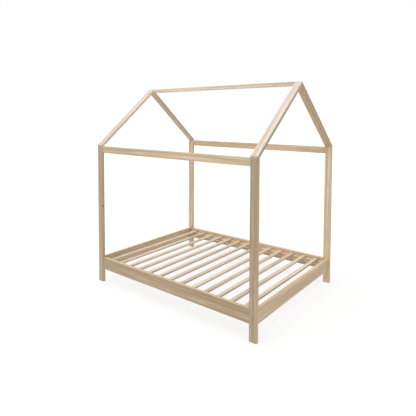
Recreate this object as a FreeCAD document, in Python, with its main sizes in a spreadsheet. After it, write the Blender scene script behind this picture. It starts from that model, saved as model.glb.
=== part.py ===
"""House frame bed for children, in planed pine.

The frame: X runs along the bed, Y across it (front side at -Y), Z up, with the origin on the floor
under the middle of the bed. Lengths are in millimetres and angles in degrees.
"""
import FreeCAD, Part
import os
import Sketcher
from FreeCAD import Placement, Rotation, Vector

doc = FreeCAD.newDocument("HouseBed")
sheet = doc.addObject("Spreadsheet::Sheet", "Sizes")

# Driving dimensions: alias, value, what it measures.
DIMENSIONS = [
    ("frame_length", 2000, "over the posts, along X"),
    ("frame_width", 1520, "over the posts, along Y"),
    ("post_width", 70, "post section along X"),
    ("post_depth", 30, "post section along Y"),
    ("post_height", 1470, "floor to rafter seat"),
    ("edge_radius", 3, "rounding of the frame's long edges"),
    ("rail_height", 125, "bed rails, side and end"),
    ("rail_thickness", 30, "bed rails, side and end"),
    ("rail_floor_gap", 140, "floor to the underside of the bed rails"),
    ("side_reveal", 5, "side rail set back from the posts' outer faces"),
    ("end_reveal", 12, "end rail set back from the posts' outer faces"),
    ("deck_drop", 20, "slat tops below the top of the rails"),
    ("ledger_depth", 40, "ledger section along Y"),
    ("ledger_height", 50, "ledger section along Z"),
    ("ledger_end_gap", 10, "ledger end to end rail"),
    ("slat_count", 13, "slats in the deck"),
    ("slat_width", 40, "slat section along X"),
    ("slat_thickness", 18, "slat section along Z"),
    ("slat_edge_radius", 2, "rounding of the slats' long edges"),
    ("slat_side_gap", 3, "slat end to side rail"),
    ("slat_end_gap", 83, "first and last slat to the end rails"),
    ("eave_rail_height", 70, "eave rail section along Z"),
    ("eave_rail_thickness", 30, "eave rail section along Y"),
    ("eave_reveal", 5, "eave rail set back from the posts' outer faces"),
    ("roof_pitch", 39.5, "slope of the rafters"),
    ("rafter_width", 70, "rafter section along X"),
    ("rafter_depth", 30, "rafter section across its slope"),
    ("ridge_height", 40, "ridge beam section along Z"),
    ("ridge_thickness", 30, "ridge beam section along Y"),
    ("bore_clearance", 0.6, "bore diameter over the diameter of what it holds"),
    ("pilot_spare", 2, "bore past the tip of a screw or bolt"),
    ("dowel_diameter", 8, "glued dowels"),
    ("dowel_length", 40, "glued dowels"),
    ("glue_gap", 1, "room for glue past a dowel's far end"),
    ("bolt_diameter", 6, "connector bolts"),
    ("bolt_head_diameter", 14, "connector bolts and the cover plugs over them"),
    ("bolt_head_height", 4, "connector bolts"),
    ("bolt_key_width", 4, "hexagon socket of the connector bolts, across flats"),
    ("bolt_key_depth", 2.5, "hexagon socket of the connector bolts"),
    ("bolt_overrun", 8, "bolt end past the barrel nut's axis"),
    ("bolt_plug_thickness", 5, "cover plugs over the connector bolts"),
    ("nut_diameter", 10, "barrel nuts"),
    ("nut_length", 14, "barrel nuts"),
    ("nut_setback", 35, "barrel nut's axis to the end of its rail"),
    ("side_bolt_rise", 18, "side rail bolt above the rail's lower edge"),
    ("side_dowel_rise", 60, "lower side rail dowel above the rail's lower edge"),
    ("side_dowel_drop", 25, "upper side rail dowel below the rail's upper edge"),
    ("end_bolt_drop", 20, "end rail bolt below the rail's upper edge"),
    ("end_dowel_rise", 34, "lower end rail dowel above the rail's lower edge"),
    ("end_dowel_drop", 55, "upper end rail dowel below the rail's upper edge"),
    ("eave_bolt_cover", 5, "wood in a post between its top bores and the eave rail's bolt bore"),
    ("eave_dowel_rise", 12, "eave rail dowel above the rail's lower edge"),
    ("foot_dowel_spread", 40, "between the two dowels of a rafter foot"),
    ("foot_dowel_rise", 15, "height of a rafter foot's dowels in the rafter"),
    ("peak_dowel_spread", 40, "between the two dowels of a gable's peak"),
    ("peak_dowel_rise", 8, "peak dowels above the underside of the peak"),
    ("screw_cross_span", 4.6, "cross recess in the screws' heads, from end to end of its arms"),
    ("screw_cross_arm", 1.1, "cross recess in the screws' heads, width of its arms"),
    ("screw_cross_depth", 1.8, "cross recess in the screws' heads"),
    ("roof_screw_head_diameter", 10, "roof screws and the cover plugs over them"),
    ("roof_screw_head_height", 3, "roof screws"),
    ("rafter_screw_diameter", 5, "screw of a rafter foot"),
    ("rafter_screw_length", 40, "screw of a rafter foot, under its head"),
    ("rafter_plug_length", 8.5, "cover plug of a rafter foot, along its axis"),
    ("ridge_screw_diameter", 6, "screws of the ridge beam"),
    ("ridge_screw_length", 100, "screws of the ridge beam, under the head"),
    ("ridge_screw_offset", 6, "ridge beam screw from the middle of the beam"),
    ("ridge_screw_drop", 14, "ridge beam screw below the peak"),
    ("ridge_plug_thickness", 5, "cover plugs over the ridge beam's screws"),
    ("ledger_screw_diameter", 5, "screws from ledger to side rail"),
    ("ledger_screw_length", 50, "screws from ledger to side rail, under the head"),
    ("ledger_screw_head_diameter", 9, "screws from ledger to side rail"),
    ("ledger_screw_head_height", 3, "screws from ledger to side rail"),
    ("ledger_screw_sink", 10, "depth of the ledger screws' counterbore"),
    ("slat_screw_diameter", 4, "screws from slat to ledger"),
    ("slat_screw_length", 38, "screws from slat to ledger, under the head"),
    ("slat_screw_head_diameter", 8, "screws from slat to ledger"),
    ("slat_screw_head_height", 2.5, "screws from slat to ledger"),
    ("slat_screw_sink", 3, "depth of the slat screws' counterbore"),
]

for row, (alias, number, note) in enumerate(DIMENSIONS, start=1):
    sheet.set(f"A{row}", alias.replace("_", " "))
    sheet.set(f"B{row}", str(number))
    sheet.set(f"C{row}", note)
    sheet.setAlias(f"B{row}", alias)
doc.recompute()


def value(expression):
    """The number that an expression over the sheet gives now."""
    return float(sheet.evalExpression(expression))


def bore_for(diameter):
    """The bore that holds a round piece of that diameter with the clearance of the bed's fasteners."""
    return f"(Sizes.{diameter} + Sizes.bore_clearance)"


# Places and lengths that follow from the driving dimensions, as expressions over the sheet.
HALF_LENGTH = "Sizes.frame_length / 2"
HALF_WIDTH = "Sizes.frame_width / 2"
SIDE_RAIL_LENGTH = "(Sizes.frame_length - 2 * Sizes.post_width)"
END_RAIL_LENGTH = "(Sizes.frame_width - 2 * Sizes.post_depth)"
CLEAR_LENGTH = "(Sizes.frame_length - 2 * (Sizes.end_reveal + Sizes.rail_thickness))"
CLEAR_WIDTH = "(Sizes.frame_width - 2 * (Sizes.side_reveal + Sizes.rail_thickness))"
RAIL_TOP = "(Sizes.rail_floor_gap + Sizes.rail_height)"
RAIL_MIDDLE = "(Sizes.rail_floor_gap + Sizes.rail_height / 2)"
DECK_HEIGHT = f"({RAIL_TOP} - Sizes.deck_drop)"
LEDGER_LENGTH = f"({CLEAR_LENGTH} - 2 * Sizes.ledger_end_gap)"
LEDGER_MIDDLE = f"({DECK_HEIGHT} - Sizes.slat_thickness - Sizes.ledger_height / 2)"
LEDGER_Y = f"({CLEAR_WIDTH} / 2 - Sizes.ledger_depth / 2)"
SLAT_SPREAD = f"({CLEAR_LENGTH} - 2 * Sizes.slat_end_gap - Sizes.slat_width)"
SLAT_PITCH = f"({SLAT_SPREAD} / (Sizes.slat_count - 1))"
SLAT_LENGTH = f"({CLEAR_WIDTH} - 2 * Sizes.slat_side_gap)"
ROOF_RISE = f"({END_RAIL_LENGTH} / 2 * tan(Sizes.roof_pitch))"
RAFTER_RISE = "(Sizes.rafter_depth / cos(Sizes.roof_pitch))"
PEAK_HEIGHT = f"(Sizes.post_height + {ROOF_RISE} + {RAFTER_RISE})"
RIDGE_LENGTH = "(Sizes.frame_length - 2 * Sizes.rafter_width)"
SEAT_X = "(Sizes.frame_length / 2 - Sizes.rafter_width / 2)"
SEAT_Y = "(Sizes.frame_width / 2 - Sizes.post_depth / 2)"

# Bores for the fasteners, and how deep they go.
DOWEL_BORE = bore_for("dowel_diameter")
BOLT_BORE = bore_for("bolt_diameter")
BOLT_HEAD_BORE = bore_for("bolt_head_diameter")
NUT_BORE = bore_for("nut_diameter")
ROOF_HEAD_BORE = bore_for("roof_screw_head_diameter")
RAFTER_SCREW_BORE = bore_for("rafter_screw_diameter")
RIDGE_SCREW_BORE = bore_for("ridge_screw_diameter")
LEDGER_SCREW_BORE = bore_for("ledger_screw_diameter")
LEDGER_HEAD_BORE = bore_for("ledger_screw_head_diameter")
SLAT_SCREW_BORE = bore_for("slat_screw_diameter")
SLAT_HEAD_BORE = bore_for("slat_screw_head_diameter")
HALF_DOWEL = "(Sizes.dowel_length / 2)"
DOWEL_FAR_DEPTH = f"({HALF_DOWEL} + Sizes.glue_gap)"
BOLT_SINK = "(Sizes.bolt_head_height + Sizes.bolt_plug_thickness)"
BOLT_REACH = "(Sizes.nut_setback + Sizes.bolt_overrun)"
BOLT_BORE_DEPTH = f"({BOLT_REACH} + Sizes.pilot_spare)"
RIDGE_SCREW_SINK = "(Sizes.roof_screw_head_height + Sizes.ridge_plug_thickness)"

# A rafter foot over its post: heights above the post's top, and depths below it.
FOOT_SLOPE = f"({RAFTER_RISE} - Sizes.post_depth / 2 * tan(Sizes.roof_pitch))"
FOOT_SEAT = f"({FOOT_SLOPE} - Sizes.rafter_plug_length - Sizes.roof_screw_head_height)"
FOOT_SCREW_BITE = f"(Sizes.rafter_screw_length - {FOOT_SEAT} + Sizes.pilot_spare)"
FOOT_DOWEL_BITE = "(Sizes.dowel_length - Sizes.foot_dowel_rise)"
FOOT_BITE = f"max({FOOT_SCREW_BITE}; {FOOT_DOWEL_BITE})"
EAVE_BOLT_DROP = f"({FOOT_BITE} + Sizes.eave_bolt_cover + {BOLT_BORE} / 2)"

# The fasteners of a side or eave rail sit half way between its outer face and the post's inner face.
SIDE_JOINT_DEPTH = "((Sizes.side_reveal + Sizes.post_depth) / 2)"
EAVE_JOINT_DEPTH = "((Sizes.eave_reveal + Sizes.post_depth) / 2)"
END_JOINT_DEPTH = "(Sizes.end_reveal + Sizes.rail_thickness / 2)"
SIDE_BOLT_Z = "(Sizes.rail_floor_gap + Sizes.side_bolt_rise)"
SIDE_DOWELS_Z = ["(Sizes.rail_floor_gap + Sizes.side_dowel_rise)", f"({RAIL_TOP} - Sizes.side_dowel_drop)"]
END_BOLT_Z = f"({RAIL_TOP} - Sizes.end_bolt_drop)"
END_DOWELS_Z = ["(Sizes.rail_floor_gap + Sizes.end_dowel_rise)", f"({RAIL_TOP} - Sizes.end_dowel_drop)"]
EAVE_RAIL_MIDDLE = "(Sizes.post_height - Sizes.eave_rail_height / 2)"
EAVE_BOLT_Z = f"(Sizes.post_height - {EAVE_BOLT_DROP})"
EAVE_DOWEL_Z = "(Sizes.post_height - Sizes.eave_rail_height + Sizes.eave_dowel_rise)"
RIDGE_SCREW_Z = f"({PEAK_HEIGHT} - Sizes.ridge_screw_drop)"
PEAK_DOWEL_Z = f"(Sizes.post_height + {ROOF_RISE} + Sizes.peak_dowel_rise)"

# The deck's slats and the gaps between them, counted from the left.
slat_count = int(value("Sizes.slat_count"))
FIRST_SLAT_X = f"-{SLAT_SPREAD} / 2"
GAP_COUNT = "Sizes.slat_count - 1"
GAP_SPREAD = f"({SLAT_SPREAD} - {SLAT_PITCH})"
FIRST_GAP_X = f"-{GAP_SPREAD} / 2"


def slat_x(index):
    """The middle of a slat along the bed."""
    return f"{FIRST_SLAT_X} + {index} * {SLAT_PITCH}"


# The sides of the bed as signs along X and Y.
FRONT, BACK = -1, 1
SIDES_X = {"left": -1, "right": 1}
SIDES_Y = {"front": FRONT, "back": BACK}
CORNERS = [(sx, sy) for sx in SIDES_X.values() for sy in SIDES_Y.values()]

# How fasteners lie that are made along Z. A nut's bolt bore, made along X, then follows its bolt.
UPRIGHT = Rotation()
HALF_TURN = Rotation(Vector(0, 0, 1), 180)
LYING_ACROSS = Rotation(Vector(1, 0, 0), -90)
NUT_IN_END_RAIL = Rotation(Vector(1, 1, 1), 120)

sub_parts = []


# ---------------------------------------------------------------- sketches and features

def new_body(name):
    """An empty body."""
    body = doc.addObject("PartDesign::Body", name)
    body.Label = name
    return body


def origin_feature(body, role):
    """One of the body's own origin planes or axes."""
    return next(part for part in body.Origin.OriginFeatures if part.Role == role)


def new_sketch(body, name, plane, offset="0"):
    """A sketch on one of the body's origin planes, moved along the plane's normal."""
    sketch = body.newObject("Sketcher::SketchObject", name)
    sketch.AttachmentSupport = [(origin_feature(body, plane), "")]
    sketch.MapMode = "FlatFace"
    if offset != "0":
        sketch.setExpression(".AttachmentOffset.Base.z", offset)
    return sketch


def pin(sketch, kind, arguments, expression):
    """A dimensional constraint whose datum follows an expression."""
    index = sketch.addConstraint(Sketcher.Constraint(kind, *arguments, value(expression)))
    sketch.setExpression(f"Constraints[{index}]", expression)


def pin_point(sketch, curve, vertex, x, y):
    """Hold a sketch point at x, y from the sketch's origin."""
    for kind, place, axis in (("DistanceX", x, -2), ("DistanceY", y, -1)):
        if place == "0":
            sketch.addConstraint(Sketcher.Constraint("PointOnObject", curve, vertex, axis))
        else:
            pin(sketch, kind, (-1, 1, curve, vertex), place)


def draw_outline(sketch, points):
    """A closed outline of straight lines through points given as pairs of expressions."""
    places = [Vector(value(x), value(y), 0) for x, y in points]
    count = len(places)
    for index in range(count):
        sketch.addGeometry(Part.LineSegment(places[index], places[(index + 1) % count]))
    for index in range(count):
        sketch.addConstraint(Sketcher.Constraint("Coincident", index, 2, (index + 1) % count, 1))
    for index, (x, y) in enumerate(points):
        pin_point(sketch, index, 1, x, y)


def draw_rectangle(sketch, width, height):
    """A rectangle centred on the sketch's origin."""
    right, top = value(width) / 2, value(height) / 2
    corners = [Vector(-right, -top, 0), Vector(right, -top, 0), Vector(right, top, 0), Vector(-right, top, 0)]
    for index in range(4):
        sketch.addGeometry(Part.LineSegment(corners[index], corners[(index + 1) % 4]))
    for index in range(4):
        sketch.addConstraint(Sketcher.Constraint("Coincident", index, 2, (index + 1) % 4, 1))
    for line, direction in ((0, "Horizontal"), (1, "Vertical"), (2, "Horizontal"), (3, "Vertical")):
        sketch.addConstraint(Sketcher.Constraint(direction, line))
    sketch.addConstraint(Sketcher.Constraint("Symmetric", 0, 1, 2, 1, -1, 1))
    pin(sketch, "DistanceX", (0, 1, 0, 2), width)
    pin(sketch, "DistanceY", (1, 1, 1, 2), height)


def draw_circles(sketch, centres, diameter):
    """Equal circles at centres given as pairs of expressions."""
    for x, y in centres:
        circle = Part.Circle(Vector(value(x), value(y), 0), Vector(0, 0, 1), value(diameter) / 2)
        index = sketch.addGeometry(circle)
        pin_point(sketch, index, 3, x, y)
        pin(sketch, "Diameter", (index,), diameter)


def pad(body, sketch, length, centred=True):
    """Extrude a sketch, to both sides of its plane or along its normal."""
    feature = body.newObject("PartDesign::Pad", f"{body.Name}_pad")
    feature.Profile = sketch
    feature.SideType = "Symmetric" if centred else "One side"
    feature.setExpression("Length", length)
    doc.recompute()
    return feature


def drill(body, name, plane, offset, inward, centres, diameter, depth):
    """Bores from a plane of the body; inward is the way they go along the plane's normal, +1 or -1."""
    sketch = new_sketch(body, f"{body.Name}_{name}_sketch", plane, offset)
    draw_circles(sketch, centres, diameter)
    volume = body.Shape.Volume
    feature = body.newObject("PartDesign::Pocket", f"{body.Name}_{name}")
    feature.Profile = sketch
    feature.Reversed = inward > 0
    feature.setExpression("Length", depth)
    doc.recompute()
    if feature.Shape.Volume >= volume:
        raise ValueError(f"{feature.Name} cuts nothing")
    return feature


def repeat(body, feature, axis, spread, count):
    """Copies of a bore in a row, spread evenly from the first to the last."""
    pattern = body.newObject("PartDesign::LinearPattern", f"{feature.Name}_row")
    pattern.Originals = [feature]
    pattern.Direction = (origin_feature(body, axis), [""])
    pattern.setExpression("Length", spread)
    pattern.setExpression("Occurrences", count)
    body.Tip = pattern
    doc.recompute()


PARALLEL = 0.999999  # cosine between two directions that count as one


def edges_along(shape, direction):
    """Names of the shape's straight edges that run along a direction."""
    names = []
    for index, edge in enumerate(shape.Edges, start=1):
        run = edge.Vertexes[-1].Point - edge.Vertexes[0].Point
        if run.Length > 0 and abs(run.dot(direction)) > PARALLEL * run.Length:
            names.append(f"Edge{index}")
    return names


def round_edges(body, feature, direction, radius):
    """Round the edges of a feature that run along a direction."""
    fillet = body.newObject("PartDesign::Fillet", f"{body.Name}_fillet")
    fillet.Base = (feature, edges_along(feature.Shape, direction))
    fillet.setExpression("Radius", radius)
    doc.recompute()


def place(piece, x="0", y="0", z="0", rotation=None):
    """Put a piece at x, y, z, given as expressions."""
    if rotation:
        piece.Placement = Placement(Vector(), rotation)
    for axis, expression in (("x", x), ("y", y), ("z", z)):
        if expression != "0":
            piece.setExpression(f".Placement.Base.{axis}", expression)


# The plane of a board's section and the direction of its length.
BOARD_AXES = {
    "X": ("YZ_Plane", Vector(1, 0, 0)),
    "Y": ("XZ_Plane", Vector(0, 1, 0)),
    "Z": ("XY_Plane", Vector(0, 0, 1)),
}


def board(name, axis, width, height, length, radius, centred=True):
    """A planed board along X, Y or Z with rounded long edges, centred on its section."""
    plane, direction = BOARD_AXES[axis]
    body = new_body(name)
    sketch = new_sketch(body, f"{name}_section", plane)
    draw_rectangle(sketch, width, height)
    base = pad(body, sketch, length, centred)
    round_edges(body, base, direction, radius)
    return body


# ---------------------------------------------------------------- frame pieces

def make_post(name, sx, sy):
    """A corner post, with the bores of the rails, the eave rail and the rafter foot."""
    body = board(name, "Z", "Sizes.post_width", "Sizes.post_depth", "Sizes.post_height", "Sizes.edge_radius",
                 centred=False)
    half_width, half_depth = "Sizes.post_width / 2", "Sizes.post_depth / 2"
    side_y = f"{sy} * ({half_depth} - {SIDE_JOINT_DEPTH})"
    eave_y = f"{sy} * ({half_depth} - {EAVE_JOINT_DEPTH})"
    bolts = [(side_y, SIDE_BOLT_Z), (eave_y, EAVE_BOLT_Z)]
    dowels = [(side_y, z) for z in SIDE_DOWELS_Z] + [(eave_y, EAVE_DOWEL_Z)]
    outer_x, inner_x = f"{sx} * {half_width}", f"{-sx} * {half_width}"
    drill(body, "long_bolt_bores", "YZ_Plane", outer_x, -sx, bolts, BOLT_BORE, "Sizes.post_width")
    drill(body, "long_bolt_sinks", "YZ_Plane", outer_x, -sx, bolts, BOLT_HEAD_BORE, BOLT_SINK)
    drill(body, "side_dowel_bores", "YZ_Plane", inner_x, sx, dowels, DOWEL_BORE, HALF_DOWEL)

    # The plane across Y looks towards -Y, so offsets and directions change sign on it.
    outer_y, inner_y = f"{-sy} * {half_depth}", f"{sy} * {half_depth}"
    end_x = f"{sx} * ({half_width} - {END_JOINT_DEPTH})"
    end_bolt = [(end_x, END_BOLT_Z)]
    end_dowels = [(end_x, z) for z in END_DOWELS_Z]
    drill(body, "short_bolt_bore", "XZ_Plane", outer_y, sy, end_bolt, BOLT_BORE, "Sizes.post_depth")
    drill(body, "short_bolt_sink", "XZ_Plane", outer_y, sy, end_bolt, BOLT_HEAD_BORE, BOLT_SINK)
    drill(body, "end_dowel_bores", "XZ_Plane", inner_y, -sy, end_dowels, DOWEL_BORE, HALF_DOWEL)

    seat_x = f"{sx} * ({half_width} - Sizes.rafter_width / 2)"
    foot_dowels = [(f"{seat_x} + {end} * Sizes.foot_dowel_spread / 2", "0") for end in (-1, 1)]
    drill(body, "foot_dowel_bores", "XY_Plane", "Sizes.post_height", -1, foot_dowels, DOWEL_BORE,
          FOOT_DOWEL_BITE)
    drill(body, "foot_screw_bore", "XY_Plane", "Sizes.post_height", -1, [(seat_x, "0")],
          RAFTER_SCREW_BORE, FOOT_SCREW_BITE)
    place(body, f"{sx} * ({HALF_LENGTH} - {half_width})", f"{sy} * ({HALF_WIDTH} - {half_depth})")
    sub_parts.append(body)


def bore_rail_ends(body, joint_y, bolt_z, dowels_z):
    """Bolt and dowel bores in both ends of a rail between two posts along X."""
    dowels = [(joint_y, z) for z in dowels_z]
    for side, sx in SIDES_X.items():
        end = f"{sx} * {SIDE_RAIL_LENGTH} / 2"
        drill(body, f"bolt_bore_{side}", "YZ_Plane", end, -sx, [(joint_y, bolt_z)], BOLT_BORE,
              BOLT_BORE_DEPTH)
        drill(body, f"dowel_bores_{side}", "YZ_Plane", end, -sx, dowels, DOWEL_BORE, DOWEL_FAR_DEPTH)


def bore_nuts(body, plane, inner_face, inward, rail_length, bolt_z, depth):
    """Cross bores for the barrel nuts from a rail's inner face, one near each end."""
    nut_offset = f"({rail_length} / 2 - Sizes.nut_setback)"
    centres = [(f"{end} * {nut_offset}", bolt_z) for end in (-1, 1)]
    drill(body, "nut_bores", plane, inner_face, inward, centres, NUT_BORE, depth)


def make_side_rail(name, sy):
    """A long rail of the bed base, with the ledger screws' pilot bores along its inner face."""
    body = board(name, "X", "Sizes.rail_thickness", "Sizes.rail_height", SIDE_RAIL_LENGTH,
                 "Sizes.edge_radius")
    half = "Sizes.rail_thickness / 2"
    joint_y = f"{sy} * (Sizes.side_reveal + {half} - {SIDE_JOINT_DEPTH})"
    bolt_z = f"{SIDE_BOLT_Z} - {RAIL_MIDDLE}"
    bore_rail_ends(body, joint_y, bolt_z, [f"{z} - {RAIL_MIDDLE}" for z in SIDE_DOWELS_Z])
    inner_face = f"{sy} * {half}"
    nut_depth = f"Sizes.side_reveal + Sizes.rail_thickness - {SIDE_JOINT_DEPTH} + Sizes.nut_length / 2"
    bore_nuts(body, "XZ_Plane", inner_face, -sy, SIDE_RAIL_LENGTH, bolt_z, nut_depth)
    pilot_depth = ("Sizes.ledger_screw_length + Sizes.ledger_screw_sink + Sizes.pilot_spare"
                   " - Sizes.ledger_depth")
    first = [(FIRST_GAP_X, f"{LEDGER_MIDDLE} - {RAIL_MIDDLE}")]
    pilot = drill(body, "ledger_pilots", "XZ_Plane", inner_face, -sy, first, LEDGER_SCREW_BORE, pilot_depth)
    repeat(body, pilot, "X_Axis", GAP_SPREAD, GAP_COUNT)
    place(body, y=f"{sy} * ({HALF_WIDTH} - Sizes.side_reveal - {half})", z=RAIL_MIDDLE)
    sub_parts.append(body)


def make_end_rail(name, sx):
    """A short rail of the bed base."""
    body = board(name, "Y", "Sizes.rail_thickness", "Sizes.rail_height", END_RAIL_LENGTH,
                 "Sizes.edge_radius")
    bolt_z = f"{END_BOLT_Z} - {RAIL_MIDDLE}"
    dowels = [("0", f"{z} - {RAIL_MIDDLE}") for z in END_DOWELS_Z]
    for side, sy in SIDES_Y.items():
        end = f"{-sy} * {END_RAIL_LENGTH} / 2"
        drill(body, f"bolt_bore_{side}", "XZ_Plane", end, sy, [("0", bolt_z)], BOLT_BORE, BOLT_BORE_DEPTH)
        drill(body, f"dowel_bores_{side}", "XZ_Plane", end, sy, dowels, DOWEL_BORE, DOWEL_FAR_DEPTH)
    bore_nuts(body, "YZ_Plane", f"{-sx} * Sizes.rail_thickness / 2", sx, END_RAIL_LENGTH, bolt_z,
              "(Sizes.rail_thickness + Sizes.nut_length) / 2")
    place(body, x=f"{sx} * ({HALF_LENGTH} - {END_JOINT_DEPTH})", z=RAIL_MIDDLE)
    sub_parts.append(body)


def make_ledger(name, sy):
    """The batten inside a side rail that carries the slats."""
    body = board(name, "X", "Sizes.ledger_depth", "Sizes.ledger_height", LEDGER_LENGTH, "Sizes.edge_radius")
    inner_face = f"{sy} * Sizes.ledger_depth / 2"
    first_gap = [(FIRST_GAP_X, "0")]
    bore = drill(body, "screw_bores", "XZ_Plane", inner_face, -sy, first_gap, LEDGER_SCREW_BORE,
                 "Sizes.ledger_depth")
    repeat(body, bore, "X_Axis", GAP_SPREAD, GAP_COUNT)
    sink = drill(body, "screw_sinks", "XZ_Plane", inner_face, -sy, first_gap, LEDGER_HEAD_BORE,
                 "Sizes.ledger_screw_sink")
    repeat(body, sink, "X_Axis", GAP_SPREAD, GAP_COUNT)
    pilot_depth = ("Sizes.slat_screw_length + Sizes.slat_screw_sink + Sizes.pilot_spare"
                   " - Sizes.slat_thickness")
    first_slat = [(FIRST_SLAT_X, "0")]
    pilot = drill(body, "slat_pilots", "XY_Plane", "Sizes.ledger_height / 2", -1, first_slat,
                  SLAT_SCREW_BORE, pilot_depth)
    repeat(body, pilot, "X_Axis", SLAT_SPREAD, "Sizes.slat_count")
    place(body, y=f"{sy} * {LEDGER_Y}", z=LEDGER_MIDDLE)
    sub_parts.append(body)


def make_slat(name, index):
    """One slat of the deck, screwed down at both ends."""
    body = board(name, "Y", "Sizes.slat_width", "Sizes.slat_thickness", SLAT_LENGTH, "Sizes.slat_edge_radius")
    top = "Sizes.slat_thickness / 2"
    ends = [("0", f"{sy} * {LEDGER_Y}") for sy in SIDES_Y.values()]
    drill(body, "screw_bores", "XY_Plane", top, -1, ends, SLAT_SCREW_BORE, "Sizes.slat_thickness")
    drill(body, "screw_sinks", "XY_Plane", top, -1, ends, SLAT_HEAD_BORE, "Sizes.slat_screw_sink")
    place(body, x=slat_x(index), z=f"{DECK_HEIGHT} - {top}")
    sub_parts.append(body)


def make_eave_rail(name, sy):
    """The rail that joins the tops of the posts along one side."""
    body = board(name, "X", "Sizes.eave_rail_thickness", "Sizes.eave_rail_height", SIDE_RAIL_LENGTH,
                 "Sizes.edge_radius")
    half = "Sizes.eave_rail_thickness / 2"
    joint_y = f"{sy} * (Sizes.eave_reveal + {half} - {EAVE_JOINT_DEPTH})"
    bolt_z = f"{EAVE_BOLT_Z} - {EAVE_RAIL_MIDDLE}"
    bore_rail_ends(body, joint_y, bolt_z, [f"{EAVE_DOWEL_Z} - {EAVE_RAIL_MIDDLE}"])
    nut_depth = (f"Sizes.eave_reveal + Sizes.eave_rail_thickness - {EAVE_JOINT_DEPTH}"
                 " + Sizes.nut_length / 2")
    bore_nuts(body, "XZ_Plane", f"{sy} * {half}", -sy, SIDE_RAIL_LENGTH, bolt_z, nut_depth)
    place(body, y=f"{sy} * ({HALF_WIDTH} - Sizes.eave_reveal - {half})", z=EAVE_RAIL_MIDDLE)
    sub_parts.append(body)


def make_rafter(name, sx, sy):
    """A rafter from its seat on a post to the plumb joint at the peak.

    Its own origin is over the middle of the bed's width, at the height of the post's top.
    """
    body = new_body(name)
    outline = new_sketch(body, f"{name}_outline", "YZ_Plane")
    outer_y, inner_y = f"{sy} * {HALF_WIDTH}", f"{sy} * {END_RAIL_LENGTH} / 2"
    plumb_face = f"{RAFTER_RISE} - Sizes.post_depth * tan(Sizes.roof_pitch)"
    peak = f"{ROOF_RISE} + {RAFTER_RISE}"
    draw_outline(outline, [(outer_y, "0"), (inner_y, "0"), ("0", ROOF_RISE), ("0", peak),
                           (outer_y, plumb_face)])
    base = pad(body, outline, "Sizes.rafter_width")
    slope = Rotation(Vector(1, 0, 0), -sy * value("Sizes.roof_pitch")).multVec(Vector(0, 1, 0))
    round_edges(body, base, slope, "Sizes.edge_radius")

    foot_y = f"{sy} * {SEAT_Y}"
    foot_dowels = [(f"{end} * Sizes.foot_dowel_spread / 2", foot_y) for end in (-1, 1)]
    dowel_depth = "Sizes.foot_dowel_rise + Sizes.glue_gap"
    drill(body, "foot_dowel_bores", "XY_Plane", "0", 1, foot_dowels, DOWEL_BORE, dowel_depth)
    drill(body, "foot_screw_bore", "XY_Plane", "0", 1, [("0", foot_y)], RAFTER_SCREW_BORE, FOOT_SEAT)
    drill(body, "foot_screw_sink", "XY_Plane", FOOT_SEAT, 1, [("0", foot_y)], ROOF_HEAD_BORE, RAFTER_RISE)

    peak_dowel_z = f"{ROOF_RISE} + Sizes.peak_dowel_rise"
    peak_dowels = [(f"{end} * Sizes.peak_dowel_spread / 2", peak_dowel_z) for end in (-1, 1)]
    drill(body, "peak_dowel_bores", "XZ_Plane", "0", -sy, peak_dowels, DOWEL_BORE, HALF_DOWEL)
    outer_x = f"{sx} * Sizes.rafter_width / 2"
    screw = [(f"{sy} * Sizes.ridge_screw_offset", f"{peak} - Sizes.ridge_screw_drop")]
    drill(body, "ridge_screw_bore", "YZ_Plane", outer_x, -sx, screw, RIDGE_SCREW_BORE, "Sizes.rafter_width")
    drill(body, "ridge_screw_sink", "YZ_Plane", outer_x, -sx, screw, ROOF_HEAD_BORE, RIDGE_SCREW_SINK)
    place(body, x=f"{sx} * {SEAT_X}", z="Sizes.post_height")
    sub_parts.append(body)


def make_ridge_beam(name):
    """The beam between the two gables, flush with their peaks."""
    body = board(name, "X", "Sizes.ridge_thickness", "Sizes.ridge_height", RIDGE_LENGTH, "Sizes.edge_radius")
    height = f"({PEAK_HEIGHT} - Sizes.ridge_height / 2)"
    screws = [(f"{sy} * Sizes.ridge_screw_offset", f"{RIDGE_SCREW_Z} - {height}") for sy in SIDES_Y.values()]
    depth = f"Sizes.ridge_screw_length + {RIDGE_SCREW_SINK} + Sizes.pilot_spare - Sizes.rafter_width"
    for side, sx in SIDES_X.items():
        drill(body, f"pilots_{side}", "YZ_Plane", f"{sx} * {RIDGE_LENGTH} / 2", -sx, screws,
              RIDGE_SCREW_BORE, depth)
    place(body, z=height)
    sub_parts.append(body)


# ---------------------------------------------------------------- fasteners
# Each fastener is made once, along Z. A head's seat is at Z 0 and its shank runs towards +Z.

def turned(name, outline):
    """A round piece about Z from half its outline, given as pairs of expressions."""
    body = new_body(name)
    sketch = new_sketch(body, f"{name}_outline", "XZ_Plane")
    draw_outline(sketch, outline)
    revolution = body.newObject("PartDesign::Revolution", f"{name}_turn")
    revolution.Profile = sketch
    revolution.ReferenceAxis = (sketch, ["V_Axis"])
    revolution.Angle = 360
    doc.recompute()
    return body


def turned_rod(name, diameter, low, high):
    """A plain round rod along Z."""
    radius = f"{diameter} / 2"
    return turned(name, [("0", low), (radius, low), (radius, high), ("0", high)])


def sink_socket(body, top, outline, depth):
    """The driver's socket in a fastener's head, from the head's top."""
    sketch = new_sketch(body, f"{body.Name}_socket_sketch", "XY_Plane", top)
    draw_outline(sketch, outline)
    socket = body.newObject("PartDesign::Pocket", f"{body.Name}_socket")
    socket.Profile = sketch
    socket.Reversed = True
    socket.setExpression("Length", depth)
    doc.recompute()


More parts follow.
